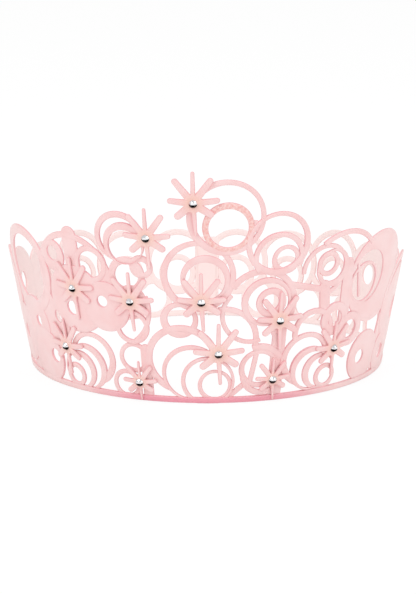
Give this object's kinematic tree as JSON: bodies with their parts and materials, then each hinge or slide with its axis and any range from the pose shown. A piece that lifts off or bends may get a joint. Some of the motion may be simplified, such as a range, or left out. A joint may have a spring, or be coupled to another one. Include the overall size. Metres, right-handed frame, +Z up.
{
  "type": "openwork paper crown",
  "caption": "Openwork crown: a flared band of interlocking rings rolled from one cut sheet, tallest in front, with rayed stars and faceted stones.",
  "frame": {"origin": "on the crown's axis, in the plane that its bottom edge stands on", "axes": "+Z up along the crown's axis; the tall front faces -Y; +X is to the right as seen from the front"},
  "size_m": [0.1955, 0.2042, 0.1134],
  "materials": {
    "pink_sheet": "frosted",
    "star_sheet": "frosted",
    "stone": "faceted, silvered behind"
  },
  "bodies": {
    "root": {"crown_band": "pink_sheet", "joining_strip": "pink_sheet", "star_top": "star_sheet", "star_upper_left": "star_sheet", "star_mid_left": "star_sheet", "star_centre": "star_sheet", "star_far_left": "star_sheet", "star_far_left_low": "star_sheet", "star_low_left": "star_sheet", "star_low_centre": "star_sheet", "star_mid_right": "star_sheet", "star_low_right": "star_sheet", "star_far_right_low": "star_sheet", "rhinestone_top": "stone", "rhinestone_upper_left": "stone", "rhinestone_mid_left": "stone", "rhinestone_centre": "stone", "rhinestone_far_left": "stone", "rhinestone_far_left_low": "stone", "rhinestone_low_left": "stone", "rhinestone_low_centre": "stone", "rhinestone_mid_right": "stone", "rhinestone_low_right": "stone", "rhinestone_far_right_low": "stone"}
  },
  "joints": []
}
